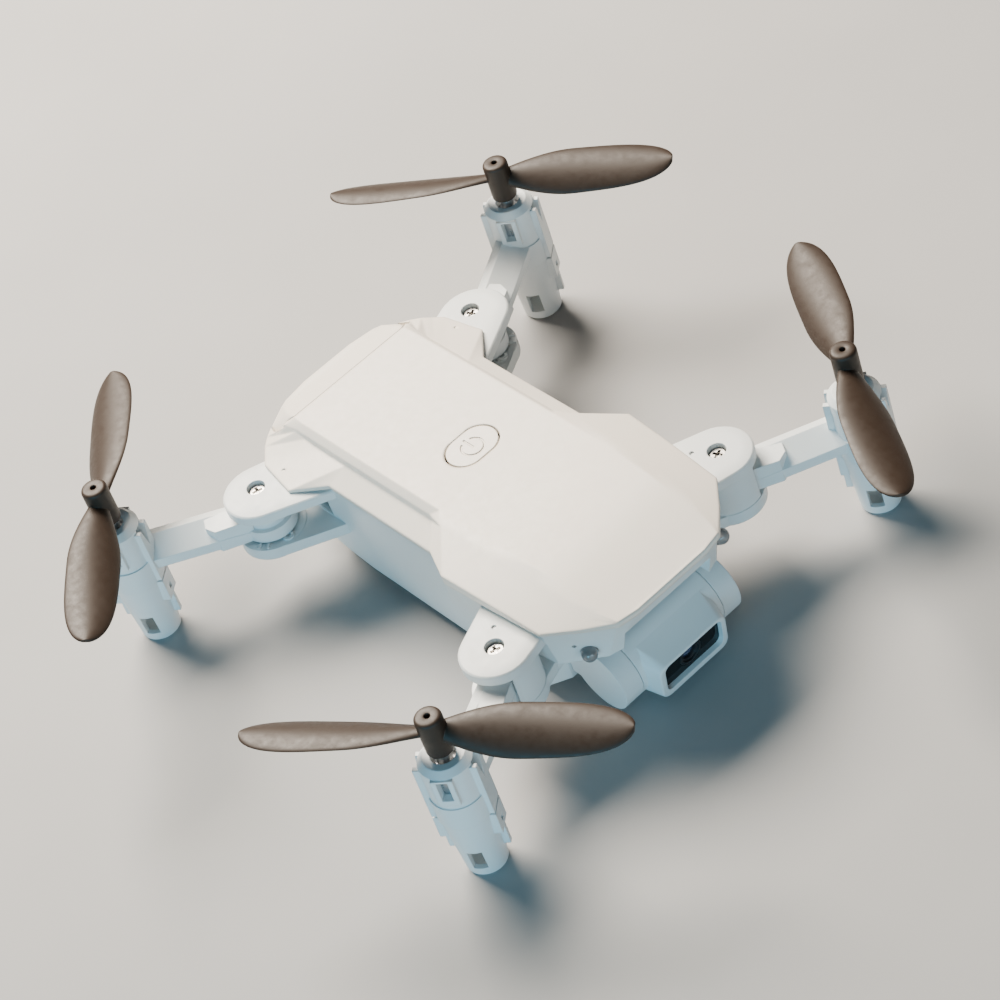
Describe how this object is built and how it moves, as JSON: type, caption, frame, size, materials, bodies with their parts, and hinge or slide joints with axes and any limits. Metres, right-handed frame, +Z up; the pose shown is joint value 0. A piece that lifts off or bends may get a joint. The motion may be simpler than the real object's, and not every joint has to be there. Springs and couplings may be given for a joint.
{
  "type": "mini palm drone",
  "caption": "Mini folding camera drone with a slide-in battery tail, tilting nose camera, folding arms and spinning two-blade propellers.",
  "frame": {"origin": "centre of the footprint at the height of the feet, on the centre plane of the body", "axes": "-Y towards the nose and camera, +X towards the drone's left side, +Z up"},
  "size_m": [0.147, 0.149, 0.0383],
  "materials": {
    "shell_plastic": "fine satin moulded white plastic, slightly warm on top",
    "propeller_plastic": "dark brown-black satin moulded plastic",
    "screw_steel": "nickel plated steel",
    "washer_plastic": "natural nylon",
    "motor_can": "drawn and nickel plated steel can",
    "circuit_board": "solder mask over glass fibre",
    "chip_epoxy": "moulded epoxy",
    "black_plastic": "black moulded plastic",
    "window_gloss": "polished black acrylic",
    "lens_glass": "coated glass",
    "led_lens": "clear epoxy lens, slightly smoky",
    "wire_red": "silicone insulated wire",
    "cell_foil": "aluminium laminate pouch"
  },
  "bodies": {
    "airframe": {"top_cover": "shell_plastic", "bottom_shell": "shell_plastic", "hinge_screws": "screw_steel", "hinge_bushes": "screw_steel", "hinge_washers": "washer_plastic", "main_board": "circuit_board", "board_chips": "chip_epoxy", "board_screws": "screw_steel", "tact_switch": "black_plastic", "battery_socket": "black_plastic", "antenna_wire": "black_plastic", "headlight_left": "led_lens", "headlight_right": "led_lens", "camera_cap_left": "shell_plastic", "camera_cap_right": "shell_plastic", "camera_cable": "circuit_board"},
    "battery": {"battery_case": "shell_plastic", "battery_lid": "shell_plastic", "battery_cell": "cell_foil", "battery_board": "circuit_board", "charge_port": "screw_steel"},
    "button": {"power_button": "shell_plastic", "switch_plunger": "black_plastic"},
    "camera": {"camera_housing": "shell_plastic", "camera_rear_cover": "shell_plastic", "camera_window": "window_gloss", "lens_barrel": "black_plastic", "lens_glass": "lens_glass", "sensor_board": "circuit_board"},
    "front_left_arm": {"arm_front_left": "shell_plastic", "foot_front_left": "shell_plastic", "motor_front_left": "motor_can", "motor_wires_front_left": "wire_red"},
    "front_left_prop": {"motor_shaft_front_left": "screw_steel", "propeller_front_left": "propeller_plastic"},
    "front_right_arm": {"arm_front_right": "shell_plastic", "foot_front_right": "shell_plastic", "motor_front_right": "motor_can", "motor_wires_front_right": "wire_red"},
    "front_right_prop": {"motor_shaft_front_right": "screw_steel", "propeller_front_right": "propeller_plastic"},
    "rear_left_arm": {"arm_rear_left": "shell_plastic", "foot_rear_left": "shell_plastic", "motor_rear_left": "motor_can", "motor_wires_rear_left": "wire_red"},
    "rear_left_prop": {"motor_shaft_rear_left": "screw_steel", "propeller_rear_left": "propeller_plastic"},
    "rear_right_arm": {"arm_rear_right": "shell_plastic", "foot_rear_right": "shell_plastic", "motor_rear_right": "motor_can", "motor_wires_rear_right": "wire_red"},
    "rear_right_prop": {"motor_shaft_rear_right": "screw_steel", "propeller_rear_right": "propeller_plastic"}
  },
  "joints": [
    {"name": "front_left_fold", "type": "hinge", "parent": "airframe", "child": "front_left_arm", "pos_m": [0.0272, -0.0322, 0.018], "axis": [0, 0, 1], "range_deg": [0, 117.5]},
    {"name": "front_left_spin", "type": "hinge", "parent": "front_left_arm", "child": "front_left_prop", "pos_m": [0.04946, -0.04505, 0.03], "axis": [0, 0, 1], "continuous": true},
    {"name": "front_right_fold", "type": "hinge", "parent": "airframe", "child": "front_right_arm", "pos_m": [-0.0272, -0.0322, 0.018], "axis": [0, 0, 1], "range_deg": [-117.5, 0]},
    {"name": "front_right_spin", "type": "hinge", "parent": "front_right_arm", "child": "front_right_prop", "pos_m": [-0.04946, -0.04505, 0.03], "axis": [0, 0, 1], "continuous": true},
    {"name": "rear_left_fold", "type": "hinge", "parent": "airframe", "child": "rear_left_arm", "pos_m": [0.0272, 0.0344, 0.018], "axis": [0, 0, 1], "range_deg": [-124, 0]},
    {"name": "rear_left_spin", "type": "hinge", "parent": "rear_left_arm", "child": "rear_left_prop", "pos_m": [0.05041, 0.0478, 0.03], "axis": [0, 0, 1], "continuous": true},
    {"name": "rear_right_fold", "type": "hinge", "parent": "airframe", "child": "rear_right_arm", "pos_m": [-0.0272, 0.0344, 0.018], "axis": [0, 0, 1], "range_deg": [0, 124]},
    {"name": "rear_right_spin", "type": "hinge", "parent": "rear_right_arm", "child": "rear_right_prop", "pos_m": [-0.05041, 0.0478, 0.03], "axis": [0, 0, 1], "continuous": true},
    {"name": "camera_tilt", "type": "hinge", "parent": "airframe", "child": "camera", "pos_m": [0, -0.0394, 0.00875], "axis": [1, 0, 0], "range_deg": [-9, 15]},
    {"name": "battery_slide", "type": "slide", "parent": "airframe", "child": "battery", "axis": [0, 1, 0], "range_m": [0, 0.056]},
    {"name": "button_press", "type": "hinge", "parent": "airframe", "child": "button", "pos_m": [0, 0.00517, 0.0311], "axis": [1, 0, 0], "range_deg": [0, 3]}
  ]
}
